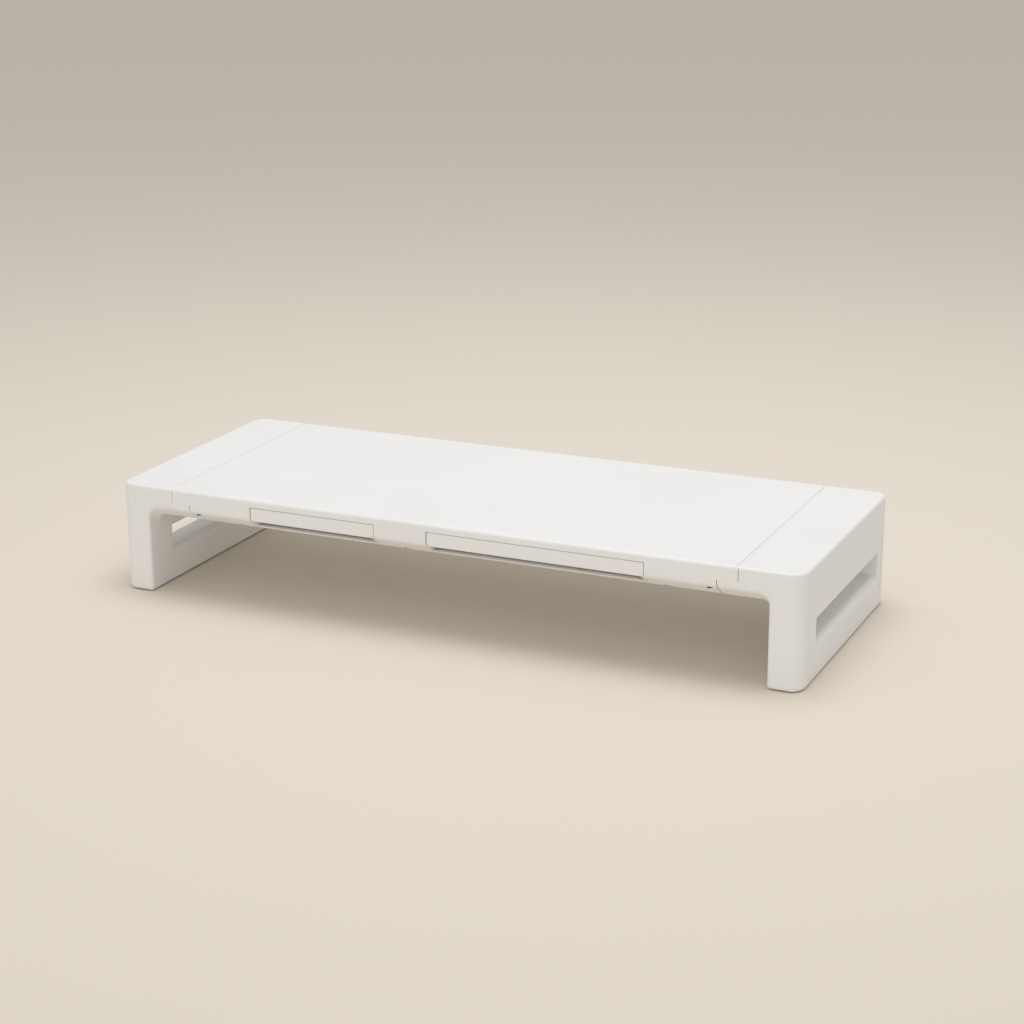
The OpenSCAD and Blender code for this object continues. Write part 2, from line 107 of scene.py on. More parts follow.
PANEL_Y = panel_high[1] + FIT_GAP
PANEL_Z = (panel_low[2] - FIT_GAP, panel_high[2] + FIT_GAP)
PANEL_T = 2.4
DRAWER_GAP = 0.8
DRAWER_TOP = TOP_Z - 6 - DRAWER_GAP
RIM_Z = DRAWER_TOP + 0.4                # edge of the shell above a drawer
OPENINGS = [(small_low[0] - DRAWER_GAP, small_high[0] + 0.45),
            (wide_low[0] - DRAWER_GAP, wide_high[0] + 0.45)]


# ---- Making meshes out of grids of points ----

class Sheet:
    """Collects grids and flat faces of points, and joins them into one mesh."""

    def __init__(self):
        self.points = []
        self.faces = []
        self.count = 0

    def add_points(self, points):
        """Keeps the points and gives the number of the first one."""
        points = np.asarray(points, float).reshape(-1, 3)
        first = self.count
        self.points.append(points)
        self.count += len(points)
        return first

    def add_grid(self, points, keep=None, close_u=False, close_v=False, flip=False):
        """One quad between each four neighbours of a grid of points, where keep says so."""
        rows, cols = points.shape[:2]
        index = self.add_points(points) + np.arange(rows * cols).reshape(rows, cols)
        if close_u:
            index = np.vstack([index, index[:1]])
        if close_v:
            index = np.hstack([index, index[:, :1]])
        quads = np.stack([index[:-1, :-1], index[1:, :-1], index[1:, 1:], index[:-1, 1:]], -1)
        if flip:
            quads = quads[..., ::-1]
        if keep is not None:
            quads = quads[keep]
        self.faces.extend(quads.reshape(-1, 4).tolist())

    def add_face(self, points, flip=False):
        """One flat face around a loop of points."""
        first = self.add_points(points)
        loop = list(range(first, first + len(points)))
        self.faces.append(loop[::-1] if flip else loop)

    def add_thick_grid(self, outer, inner, keep):
        """Both sides of a wall between two grids, and its edges wherever keep ends."""
        self.add_grid(outer, keep)
        self.add_grid(inner, keep, flip=True)
        rows, cols = outer.shape[:2]
        first_out = self.add_points(outer)
        first_in = self.add_points(inner)
        index = np.arange(rows * cols).reshape(rows, cols)
        padded = np.pad(keep, 1)
        for axis in (0, 1):
            before = padded[:-1, 1:-1] if axis == 0 else padded[1:-1, :-1]
            after = padded[1:, 1:-1] if axis == 0 else padded[1:-1, 1:]
            if axis == 0:
                a, b = index[:, :-1], index[:, 1:]
            else:
                a, b = index[1:, :], index[:-1, :]
            for rim, one, two in ((after & ~before, a, b), (before & ~after, b, a)):
                o, t = one[rim], two[rim]
                quads = np.stack([o + first_out, t + first_out, t + first_in, o + first_in], -1)
                self.faces.extend(quads[:, ::-1].tolist())

    def mesh(self, name):
        """Merges points closer than a hundredth of a millimetre and drops faces without area."""
        points = np.vstack(self.points)
        _, first, merged = np.unique(np.round(points / 0.01).astype(np.int64), axis=0,
                                     return_index=True, return_inverse=True)
        merged = merged.reshape(-1)
        sizes = np.array([len(face) for face in self.faces])
        corner = merged[np.concatenate([np.array(face) for face in self.faces])]
        owner = np.repeat(np.arange(len(sizes)), sizes)
        starts = np.cumsum(sizes) - sizes
        before = np.arange(len(corner)) - 1
        before[starts] = starts + sizes - 1
        moved_on = corner != corner[before]
        corner, owner = corner[moved_on], owner[moved_on]
        sizes = np.bincount(owner, minlength=len(sizes))
        order = np.lexsort((corner, owner))
        twice = (np.diff(corner[order]) == 0) & (np.diff(owner[order]) == 0)
        sound = sizes > 2
        sound[owner[order][1:][twice]] = False
        corner, sizes = corner[sound[owner]], sizes[sound]
        faces = np.split(corner, np.cumsum(sizes)[:-1])
        mesh = bpy.data.meshes.new(name)
        mesh.from_pydata((points[first] * MM).tolist(), [], [face.tolist() for face in faces])
        mesh.update()
        return mesh


def arc(start, end, steps):
    """Angles from start to end in degrees, as radians."""
    return np.radians(np.linspace(start, end, steps + 1))


def edge_inset(depth, radius):
    """How far a face has moved in, at a depth below the rounded edge of that radius."""
    left = np.clip(radius - depth, 0, radius)
    return radius - np.sqrt(radius ** 2 - left ** 2)


def under_height(depth):
    """Height of the beam's lower surface at a depth behind the front face: an arc off the
    upright face, the straight undercut, an arc onto the underside, then the level underside."""
    rise = FOLD_Z - UNDER_Z
    length = math.hypot(rise, UNDERCUT_D)
    half_fold = math.atan2(UNDERCUT_D, rise) / 2
    fold_z = FOLD_Z + FOLD_R * math.tan(half_fold)
    fold_end = FOLD_R * math.tan(half_fold) * UNDERCUT_D / length
    half_heel = math.atan2(rise, UNDERCUT_D) / 2
    heel_y = UNDERCUT_D + HEEL_R * math.tan(half_heel)
    heel_start = UNDERCUT_D - HEEL_R * math.tan(half_heel) * UNDERCUT_D / length
    depth = np.asarray(depth, float)
    fold = fold_z - np.sqrt(np.clip(FOLD_R ** 2 - (FOLD_R - depth) ** 2, 0, None))
    slope = FOLD_Z - rise * depth / UNDERCUT_D
    heel = UNDER_Z + HEEL_R - np.sqrt(np.clip(HEEL_R ** 2 - (heel_y - depth) ** 2, 0, None))
    return np.where(depth < fold_end, fold,
                    np.where(depth < heel_start, slope, np.where(depth < heel_y, heel, UNDER_Z)))


def weight_edges(mesh, where):
    """Gives every edge that where picks the full bevel weight. Where gets both ends of all
    edges in millimetres, as two arrays of points."""
    points = np.empty(len(mesh.vertices) * 3)
    mesh.vertices.foreach_get("co", points)
    points = points.reshape(-1, 3) / MM
    ends = np.empty(len(mesh.edges) * 2, int)
    mesh.edges.foreach_get("vertices", ends)
    ends = ends.reshape(-1, 2)
    weights = where(points[ends[:, 0]], points[ends[:, 1]]).astype(float)
    mesh.attributes.new("bevel_weight_edge", "FLOAT", "EDGE").data.foreach_set("value", weights)


def finish_piece(name, mesh, body, material, bevel=0.0, segments=2, sharp=32, cutters=(), where=None):
    """Turns a mesh into a riding piece with soft edges, outward faces and even shading. Where
    says, from the two ends of every edge, which edges are softened; without it the angle decides."""
    work = bmesh.new()
    work.from_mesh(mesh)
    bmesh.ops.remove_doubles(work, verts=work.verts, dist=1e-6)
    bmesh.ops.recalc_face_normals(work, faces=work.faces)
    work.to_mesh(mesh)
    work.free()
    piece = bpy.data.objects.new(name, mesh)
    bpy.context.scene.collection.objects.link(piece)
    if bevel:
        soften = piece.modifiers.new("soft_edges", "BEVEL")
        soften.width = bevel * MM
        soften.segments = segments
        soften.limit_method = "ANGLE" if where is None else "WEIGHT"
        soften.angle_limit = math.radians(50)
        if where is not None:
            weight_edges(mesh, where)
        soften.use_clamp_overlap = True
    for cutter in cutters:
        drill = piece.modifiers.new("drill", "BOOLEAN")
        drill.operation = "DIFFERENCE"
        drill.solver = "EXACT"
        drill.object = cutter
    if bevel or cutters:
        bpy.context.view_layer.update()
        evaluated = piece.evaluated_get(bpy.context.evaluated_depsgraph_get())
        solid = bpy.data.meshes.new_from_object(evaluated)
        piece.modifiers.clear()
        piece.data = solid
    for cutter in cutters:
        bpy.data.objects.remove(cutter)
    piece.data.materials.clear()
    piece.data.materials.append(material)
    piece.data.shade_smooth()
    piece.data.set_sharp_from_angle(angle=math.radians(sharp))
    even = piece.modifiers.new("even_shading", "WEIGHTED_NORMAL")
    even.keep_sharp = True
    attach(piece, body)
    return piece


def drill_bit(x, y, z0, z1, radius, sides=40):
    """A closed upright cylinder that cuts a hole."""
    turn = np.linspace(0, 2 * math.pi, sides, endpoint=False)
    ring = np.stack([x + radius * np.cos(turn), y + radius * np.sin(turn)], -1)
    sheet = Sheet()
    low = np.column_stack([ring, np.full(sides, z0)])
    high = np.column_stack([ring, np.full(sides, z1)])
    sheet.add_grid(np.stack([low, high]), close_v=True)
    sheet.add_face(low, flip=True)
    sheet.add_face(high)
    bit = bpy.data.objects.new("bit", sheet.mesh("bit"))
    bpy.context.scene.collection.objects.link(bit)
    work = bmesh.new()
    work.from_mesh(bit.data)
    bmesh.ops.recalc_face_normals(work, faces=work.faces)
    work.to_mesh(bit.data)
    work.free()
    return bit


# ---- Materials ----

def moulded_plastic(name, colour, roughness, grain=0.25, mottle=0.012):
    """White plastic with a fine spark-eroded grain, a slow change of tone and faint handling wear."""
    material = bpy.data.materials.new(name)
    material.use_nodes = True
    tree = material.node_tree
    nodes, links = tree.nodes, tree.links
    shader = nodes["Principled BSDF"]
    place = nodes.new("ShaderNodeTexCoord")
    tone = nodes.new("ShaderNodeTexNoise")
    tone.inputs["Scale"].default_value = 9
    tone.inputs["Detail"].default_value = 3
    links.new(place.outputs["Object"], tone.inputs["Vector"])
    ramp = nodes.new("ShaderNodeValToRGB")
    dark = [c * (1 - mottle) for c in colour]
    light = [min(1, c * (1 + mottle)) for c in colour]
    ramp.color_ramp.elements[0].color = (*dark, 1)
    ramp.color_ramp.elements[1].color = (*light, 1)
    ramp.color_ramp.elements[0].position = 0.35
    ramp.color_ramp.elements[1].position = 0.65
    links.new(tone.outputs["Fac"], ramp.inputs["Fac"])
    links.new(ramp.outputs["Color"], shader.inputs["Base Color"])
    sheen = nodes.new("ShaderNodeTexNoise")
    sheen.inputs["Scale"].default_value = 22
    sheen.inputs["Detail"].default_value = 4
    links.new(place.outputs["Object"], sheen.inputs["Vector"])
    span = nodes.new("ShaderNodeMapRange")
    span.inputs["From Min"].default_value = 0.3
    span.inputs["From Max"].default_value = 0.7
    span.inputs["To Min"].default_value = roughness - 0.04
    span.inputs["To Max"].default_value = roughness + 0.05
    links.new(sheen.outputs["Fac"], span.inputs["Value"])
    links.new(span.outputs["Result"], shader.inputs["Roughness"])
    speck = nodes.new("ShaderNodeTexNoise")
    speck.inputs["Scale"].default_value = 1400
    speck.inputs["Detail"].default_value = 2
    links.new(place.outputs["Object"], speck.inputs["Vector"])
    bump = nodes.new("ShaderNodeBump")
    bump.inputs["Strength"].default_value = grain
    bump.inputs["Distance"].default_value = 0.00006
    links.new(speck.outputs["Fac"], bump.inputs["Height"])
    links.new(bump.outputs["Normal"], shader.inputs["Normal"])
    shader.inputs["IOR"].default_value = 1.5
    return material


def plain_finish(name, colour, roughness, metallic=0.0, scale=300, grain=0.3, brushed=(1, 1, 1)):
    """Rubber or metal with a fine grain; brushed stretches the grain along an axis."""
    material = bpy.data.materials.new(name)
    material.use_nodes = True
    nodes, links = material.node_tree.nodes, material.node_tree.links
    shader = nodes["Principled BSDF"]
    shader.inputs["Metallic"].default_value = metallic
    place = nodes.new("ShaderNodeTexCoord")
    stretch = nodes.new("ShaderNodeMapping")
    stretch.inputs["Scale"].default_value = brushed
    links.new(place.outputs["Object"], stretch.inputs["Vector"])
    speck = nodes.new("ShaderNodeTexNoise")
    speck.inputs["Scale"].default_value = scale
    speck.inputs["Detail"].default_value = 4
    links.new(stretch.outputs["Vector"], speck.inputs["Vector"])
    ramp = nodes.new("ShaderNodeValToRGB")
    ramp.color_ramp.elements[0].color = (*[c * 0.82 for c in colour], 1)
    ramp.color_ramp.elements[1].color = (*[min(1, c * 1.15) for c in colour], 1)
    links.new(speck.outputs["Fac"], ramp.inputs["Fac"])
    links.new(ramp.outputs["Color"], shader.inputs["Base Color"])
    span = nodes.new("ShaderNodeMapRange")
    span.inputs["To Min"].default_value = roughness - 0.08
    span.inputs["To Max"].default_value = roughness + 0.08
    links.new(speck.outputs["Fac"], span.inputs["Value"])
    links.new(span.outputs["Result"], shader.inputs["Roughness"])
    bump = nodes.new("ShaderNodeBump")
    bump.inputs["Strength"].default_value = grain
    bump.inputs["Distance"].default_value = 0.0001
    links.new(speck.outputs["Fac"], bump.inputs["Height"])
    links.new(bump.outputs["Normal"], shader.inputs["Normal"])
    return material


shell_white = moulded_plastic("shell_white", (0.87, 0.868, 0.86), 0.42)
drawer_white = moulded_plastic("drawer_white", (0.865, 0.862, 0.852), 0.40)
rail_white = moulded_plastic("rail_white", (0.80, 0.80, 0.77), 0.28, grain=0.05)
rubber_grey = plain_finish("rubber_grey", (0.05, 0.05, 0.05), 0.75, scale=900)
brace_steel = plain_finish("brace_steel", (0.56, 0.57, 0.58), 0.38, 1.0, 220, 0.2, (0.05, 1, 1))
screw_steel = plain_finish("screw_steel", (0.50, 0.50, 0.52), 0.32, 1.0, 700)
screw_black = plain_finish("screw_black", (0.012, 0.012, 0.013), 0.45, 0.0, 900)


# ---- Legs ----

def leg_stations():
    """Depths behind the front face where a leg's outline changes, closer together on arcs."""
    ends = np.concatenate([CORNER_R * (1 - np.cos(arc(0, 90, 14))), FOOT_R * (1 - np.cos(arc(0, 90, 6))),
                           [0.8, 1.6, 12.4, 13.2, 14.2, 15.2, 16.0, 16.4]])
    ends = np.unique(np.round(ends, 2))
    ends = ends[np.insert(np.diff(ends) > 0.07, 0, True)]
    marks = [-PANEL_Y, WINDOW_Y[0] - LIP_R, -57, -1, 1, 57, WINDOW_Y[1] + LIP_R, PANEL_Y]
    middle = [-70, -45, -30, -15, 15, 30, 45, 70]
    return np.unique(np.round(np.concatenate([ends - HALF_D, HALF_D - ends, marks, middle]), 3))


GROOVE_SHARES = (1.25, 1.1, 1.04, 0.98, 0.92, 0.86, 0.8, 0.4, 0.0)


def seam_gap(depth):
    """Width of the gap between leg and shell: open at the front face, nearly shut behind it."""
    return 0.55 - 0.43 * float(np.clip(depth / 1.4, 0, 1))


def groove_drop(share, depth):
    """How deep the groove is at a share of its half width: a level bottom and soft upright sides,
    running out towards the front and rear edges."""
    rise = np.clip((1.1 - np.asarray(share, float)) / 0.24, 0, 1)
    reach = float(np.clip((depth - 0.4) / 4, 0, 1))
    return SEAM_DEPTH * rise ** 2 * (3 - 2 * rise) * reach


def leg_outline(y):
    """Closed outline of a leg in X and Z at the place y: down the lower joint, along the beam's
    underside, round the inside fillet, down and under the leg, up its outer face, over the top
    edge and down the upper joint. Each side moves in near the front and rear faces."""
    depth = HALF_D - abs(y)
    out_x = HALF_W - edge_inset(depth, CORNER_R)
    top = TOP_Z - edge_inset(depth, TOP_R)
    low = LEG_Z + edge_inset(depth, FOOT_R)
    in_x = LEG_IN_X + edge_inset(depth, INNER_R)
    under = float(under_height(depth))
    seam = SHELL_X + seam_gap(depth)
    groove = [(seam + SEAM_W * share, top - float(groove_drop(share, depth)))
              for share in GROOVE_SHARES]
    turn = arc(0, 90, 8)
    inside = [(in_x - INSIDE_R + INSIDE_R * math.sin(t), under - INSIDE_R + INSIDE_R * math.cos(t))
              for t in turn]
    turn = arc(0, 90, 6)
    foot_in = [(in_x + FOOT_R - FOOT_R * math.cos(t), low + FOOT_R - FOOT_R * math.sin(t)) for t in turn]
    foot_out = [(out_x - FOOT_R + FOOT_R * math.sin(t), low + FOOT_R - FOOT_R * math.cos(t)) for t in turn]
    top_out = [(out_x - TOP_R + TOP_R * math.cos(t), top - TOP_R + TOP_R * math.sin(t)) for t in turn]
    zs = [WINDOW_Z[1] + LIP_R, WINDOW_Z[0] - SILL_R]
    return ([(SLIT_X, LAP_Z), (SLIT_X, under + 0.5), (SLIT_X + 0.15, under + 0.15), (SLIT_X + 0.5, under),
             (SLIT_X + 1.2, under), (in_x - INSIDE_R - 1, under)] + inside
            + [(in_x, under - INSIDE_R - 0.6), (in_x, zs[0]), (in_x, zs[1]), (in_x, low + FOOT_R + 0.6)]
            + foot_in + [(in_x + FOOT_R + 0.4, low), (max(278.3, in_x + FOOT_R + 0.8), low),
                         (min(294.4, out_x - FOOT_R - 0.8), low), (out_x - FOOT_R - 0.4, low)]
            + foot_out + [(out_x, low + FOOT_R + 0.6), (out_x, PANEL_Z[0]), (out_x, PANEL_Z[1]),
                          (out_x, top - TOP_R - 0.6)]
            + top_out + [(out_x - TOP_R - 0.6, top), (seam + 6, top)] + groove + [(seam, LAP_Z)])


def rectangle(ys, zs):
    """Places round a rectangle as fractions of its two sides, one for each given station."""
    fy = (np.asarray(ys) - ys[0]) / (ys[-1] - ys[0])
    fz = (np.asarray(zs) - zs[0]) / (zs[-1] - zs[0])
    return np.concatenate([np.column_stack([fy[:-1], np.zeros(len(fy) - 1)]),
                           np.column_stack([np.ones(len(fz) - 1), fz[:-1]]),
                           np.column_stack([fy[:0:-1], np.ones(len(fy) - 1)]),
                           np.column_stack([np.zeros(len(fz) - 1), fz[:0:-1]])])


def rectangle_loops(fractions, loops):
    """A grid with one row for each loop (x, y0, y1, z0, z1), the same fractions round each."""
    rows = []
    for x, y0, y1, z0, z1 in loops:
        rows.append(np.column_stack([np.full(len(fractions), x), y0 + fractions[:, 0] * (y1 - y0),
                                     z0 + fractions[:, 1] * (z1 - z0)]))
    return np.array(rows)


def window_loops(face_x, side, depths):
    """Loops of the window's wall behind a face: level sill and upright ends with soft lips.
    The sill's lip has the large radius, the other three edges the small one."""
    loops = []
    for depth in depths:
        lip = edge_inset(depth, LIP_R) if depth < LIP_R else 0.0
        sill = edge_inset(depth, SILL_R) if depth < SILL_R else 0.0
        loops.append((face_x + side * depth, WINDOW_Y[0] - lip, WINDOW_Y[1] + lip,
                      WINDOW_Z[0] - sill, WINDOW_Z[1] + lip))
    return loops


LIP_DEPTHS = np.unique(np.round(np.concatenate([LIP_R * (1 - np.cos(arc(0, 90, 4))),
                                                SILL_R * (1 - np.cos(arc(0, 90, 10))), [6.4]]), 3))


def make_leg(side):
    """A leg in one moulding: its outline carried from front to rear, flat front and rear faces,
    the seat of the side panel, its half of the window and the two hollows under it."""
    ys = leg_stations()
    outlines = [leg_outline(y) for y in ys]
    grid = np.array([[(x, y, z) for x, z in outline] for y, outline in zip(ys, outlines)])
    rows, cols = len(ys) - 1, grid.shape[1]
    middle = grid[len(ys) // 2]
    next_point = np.roll(middle, -1, axis=0)
    y_mid = (ys[1:] + ys[:-1]) / 2
    centre = (middle + next_point) / 2
    on_inner = (np.abs(centre[:, 0] - LEG_IN_X) < 0.01) & (np.abs(centre[:, 2] - np.mean(WINDOW_Z)) < 8)
    on_outer = (np.abs(centre[:, 0] - HALF_W) < 0.01) & (np.abs(centre[:, 2] - np.mean(PANEL_Z)) < 5)
    on_base = (np.abs(centre[:, 2] - LEG_Z) < 0.01) & (np.abs(centre[:, 0] - 286.35) < 2)
    in_window = (y_mid > WINDOW_Y[0] - LIP_R) & (y_mid < WINDOW_Y[1] + LIP_R)
    in_panel = np.abs(y_mid) < PANEL_Y
    in_pocket = (np.abs(y_mid) < 57) & (np.abs(y_mid) > 1)
    keep = ~(np.outer(in_window, on_inner) | np.outer(in_panel, on_outer) | np.outer(in_pocket, on_base))
    sheet = Sheet()
    sheet.add_grid(grid, keep.reshape(rows, cols), close_v=True)
    sheet.add_face(grid[0])
    sheet.add_face(grid[-1], flip=True)
    # the window from the inner face to the joint with the panel, then the wider bore for its frame
    inner_ys = ys[(ys > WINDOW_Y[0] - LIP_R - 0.01) & (ys < WINDOW_Y[1] + LIP_R + 0.01)]
    around = rectangle(inner_ys, [0, 1])
    inner = window_loops(LEG_IN_X, 1, LIP_DEPTHS)
    grown = (WINDOW_Y[0] - FRAME_T - 0.2, WINDOW_Y[1] + FRAME_T + 0.2,
             WINDOW_Z[0] - SILL_R - FRAME_T - 0.2, WINDOW_Z[1] + FRAME_T + 0.2)
    seat_x = HALF_W - PANEL_T - 0.2
    loops = inner + [(TUNNEL_X, *WINDOW_Y, *WINDOW_Z), (TUNNEL_X, *grown), (seat_x, *grown)]
    sheet.add_grid(rectangle_loops(around, loops), close_v=True)
    # from there to the seat's edge and out to the outer face
    outer_ys = ys[np.abs(ys) < PANEL_Y + 0.01]
    seat = rectangle_loops(rectangle(outer_ys, [0, 1]),
                           [(seat_x, -PANEL_Y, PANEL_Y, *PANEL_Z), (HALF_W, -PANEL_Y, PANEL_Y, *PANEL_Z)])
    sheet.add_grid(seat, close_v=True)
    ring = seat[0]
    hole = rectangle_loops(around, [(seat_x, *grown)])[0]
    add_frame_face(sheet, ring, hole)
    # hollows in the underside
    for s in (-1, 1):
        span = sorted((s * 1.0, s * 57.0))
        picks = ys[(ys > span[0] - 0.01) & (ys < span[1] + 0.01)]
        fractions = rectangle(picks, [0, 1])
        deep = PANEL_Z[0] + 2 - WALL
        rows_z = []
        for z, inset in ((LEG_Z, 0), (deep, 0.4)):
            rows_z.append(np.column_stack([278.3 + inset + fractions[:, 1] * (16.1 - 2 * inset),
                                           span[0] + inset + fractions[:, 0] * (56 - 2 * inset),
                                           np.full(len(fractions), z)]))
        sheet.add_grid(np.array(rows_z), close_v=True)
        sheet.add_face(rows_z[1])
    mesh = sheet.mesh("leg")
    if side < 0:
        mesh.transform(Matrix.Scale(-1, 4, Vector((1, 0, 0))))
    name = "right" if side > 0 else "left"
    piece = finish_piece(name + "_leg_moulding", mesh, "stand", shell_white)
    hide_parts(name + "_leg")
    return piece


def add_frame_face(sheet, ring, hole):
    """The flat face between an outer rectangle of points and an inner one, as four pieces."""
    def corners(loop):
        """Where a loop's four corners are: the points furthest out along the two diagonals."""
        y, z = loop[:, 1], loop[:, 2]
        picks = [np.argmin(y + z), np.argmin(z - y), np.argmax(y + z), np.argmin(y - z)]
        return picks

    outer_at, inner_at = corners(ring), corners(hole)
    for k in range(4):
        def run(loop, at):
            """The points from one corner to the next, going round past the loop's end."""
            a, b = at[k], at[(k + 1) % 4]
            ids = np.arange(a, b + 1 if b > a else b + len(loop) + 1) % len(loop)
            return loop[ids]
        sheet.add_face(np.vstack([run(ring, outer_at), run(hole, inner_at)[::-1]]))


def make_side_panel(side):
    """The panel as one closed tube of rectangles: rounded rim, outer face, soft lip of the
    window, its wall, the back of that wall and the back of the plate."""
    fractions = rectangle(np.linspace(0, 1, 13), np.linspace(0, 1, 5))
    end_gap, rim = 0.8, 0.3
    y1 = PANEL_Y - end_gap
    z0, z1 = PANEL_Z
    loops = []
    for t in arc(0, 90, 3):
        loops.append((HALF_W - rim * (1 - math.sin(t)), -y1 + rim * (1 - math.cos(t)),
                      y1 - rim * (1 - math.cos(t)), z0, z1))
    loops.append((HALF_W, -y1 + 1, y1 - 1, z0 + 1, z1 - 1))
    start = window_loops(HALF_W, -1, LIP_DEPTHS)
    x, a, b, c, d = start[0]
    loops.append((x, a - 0.5, b + 0.5, c - 0.5, d + 0.5))
    loops += start
    back_x = panel_low[0]
    loops.append((back_x, *WINDOW_Y, *WINDOW_Z))
    grown = (WINDOW_Y[0] - FRAME_T, WINDOW_Y[1] + FRAME_T,
             WINDOW_Z[0] - SILL_R - FRAME_T, WINDOW_Z[1] + FRAME_T)
    loops.append((back_x, *grown))
    plate_x = HALF_W - PANEL_T
    loops.append((plate_x, *grown))
    loops.append((plate_x, -y1, y1, z0, z1))
    sheet = Sheet()
    sheet.add_grid(rectangle_loops(fractions, loops), close_u=True, close_v=True)
    mesh = sheet.mesh("side_panel")
    if side < 0:
        mesh.transform(Matrix.Scale(-1, 4, Vector((1, 0, 0))))
    name = "right" if side > 0 else "left"
    piece = finish_piece(name + "_window_panel", mesh, "stand", shell_white)
    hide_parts(name + "_side_panel")
    return piece


# ---- Top shell, bottom cover and pockets ----

def beam_outline(inset, low_z):
    """The shell's section from its front lower edge over the top to its rear lower edge, moved in
    by a wall. The front and rear follow the same soft undercut."""
    depths = np.array([0, 0.25, 0.5, 0.8, 1.2, 1.6, 2.4, 4, 6])
    heights = under_height(depths)
    run = UNDERCUT_D / (FOLD_Z - UNDER_Z)
    last = (FOLD_Z - low_z) * run
    lower = [(last, low_z)] + [(d, z) for d, z in zip(depths[::-1], heights[::-1]) if z > low_z + 0.5]
    flat = [(0, LAP_Z), (0, RIM_Z), (0, TOP_Z - TOP_R - 0.6)]
    rim = [(TOP_R - TOP_R * math.cos(t), TOP_Z - TOP_R + TOP_R * math.sin(t)) for t in arc(0, 90, 6)]
    half = lower + flat + rim + [(TOP_R + 0.6, TOP_Z), (3.7, TOP_Z), (4.4, TOP_Z), (9, TOP_Z)]
    outer = np.array([(d - HALF_D, z) for d, z in half])
    if inset:
        along = np.gradient(outer, axis=0)
        along /= np.linalg.norm(along, axis=1)[:, None]
        outer = outer + inset * np.column_stack([along[:, 1], -along[:, 0]])
        outer[0, 1] = low_z
        outer[:, 1] = np.minimum(outer[:, 1], TOP_Z - inset)
    crown = np.array([(y, TOP_Z - inset) for y in (-95, -60, -30, 0, 30, 60, 95)])
    rear = outer[::-1] * [-1, 1]
    return np.vstack([outer, crown, rear])


def make_top_shell():
    """The section carried along the stand. The drawer openings and the half-lap are left out of
    the grid, and the top face sinks into the groove at each seam."""
    outer = beam_outline(0, PART_Z)
    inner = beam_outline(WALL, PART_Z)
    marks = [COVER_X, SHELL_X, 225, 200, 150, 100, 50, 0]
    lips = SHELL_X - SEAM_W * np.array(GROOVE_SHARES)
    xs = np.concatenate([marks, lips, -np.array(marks), -lips, np.array(OPENINGS).ravel()])
    xs = np.unique(np.round(xs, 3))

    def carried(section, sink):
        """The section at each place along X, lowered by the seam groove where sink says so."""
        grid = np.zeros((len(xs), len(section), 3))
        grid[..., 0] = xs[:, None]
        grid[..., 1:] = section[None]
        if sink:
            shares = (SHELL_X - np.abs(xs)) / SEAM_W
            upper = section[:, 1] > TOP_Z - TOP_R
            drops = [groove_drop(shares, HALF_D - abs(y)) * above for y, above in zip(section[:, 0], upper)]
            grid[..., 2] -= np.stack(drops, 1)
        return grid

    x_mid = (xs[1:] + xs[:-1]) / 2
    z_mid = (outer[1:, 1] + outer[:-1, 1]) / 2
    front = (outer[1:, 0] + outer[:-1, 0]) < 0
    keep = np.ones((len(x_mid), len(z_mid)), bool)
    for x0, x1 in OPENINGS:
        keep &= ~np.outer((x_mid > x0) & (x_mid < x1), front & (z_mid < RIM_Z))
    keep &= ~np.outer(np.abs(x_mid) > COVER_X, z_mid < LAP_Z)
    sheet = Sheet()
    sheet.add_thick_grid(carried(outer, True), carried(inner, False), keep)
    bits = [drill_bit(s * (leg_screw_high[0] - 2.75), t * (leg_screw_high[1] - 2.75), 60,
                      leg_screw_low[2] + 2.2, 2.95) for s in (-1, 1) for t in (-1, 1)]

    def at_openings(a, b):
        """Edges of the drawer openings in the outer face."""
        sides = np.array(OPENINGS).ravel()
        upright = (np.abs(a[:, :1] - sides).min(1) < 0.01) & (np.abs(a[:, 0] - b[:, 0]) < 0.01)
        upright &= (a[:, 2] < RIM_Z + 0.01) & (b[:, 2] < RIM_Z + 0.01)
        level = (np.abs(a[:, 2] - RIM_Z) < 0.01) & (np.abs(b[:, 2] - RIM_Z) < 0.01)
        mid = (a[:, 0] + b[:, 0]) / 2
        level &= np.any([(mid > x0) & (mid < x1) for x0, x1 in OPENINGS], axis=0)
        outside = (np.abs(a[:, 1]) > HALF_D - 0.01) | (a[:, 2] < FOLD_Z + 2)
        outer_side = (a[:, 1] < -80) & (b[:, 1] < -80) & outside
        lengthwise = np.abs(a[:, 1] - b[:, 1]) < np.abs(a[:, 2] - b[:, 2]) * 1.5 + 0.01
        return outer_side & (upright & lengthwise | level)

    piece = finish_piece("top_shell_moulding", sheet.mesh("top_shell"), "stand", shell_white,
                         bevel=0.25, cutters=bits, where=at_openings)
    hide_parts("top_shell")
    return piece


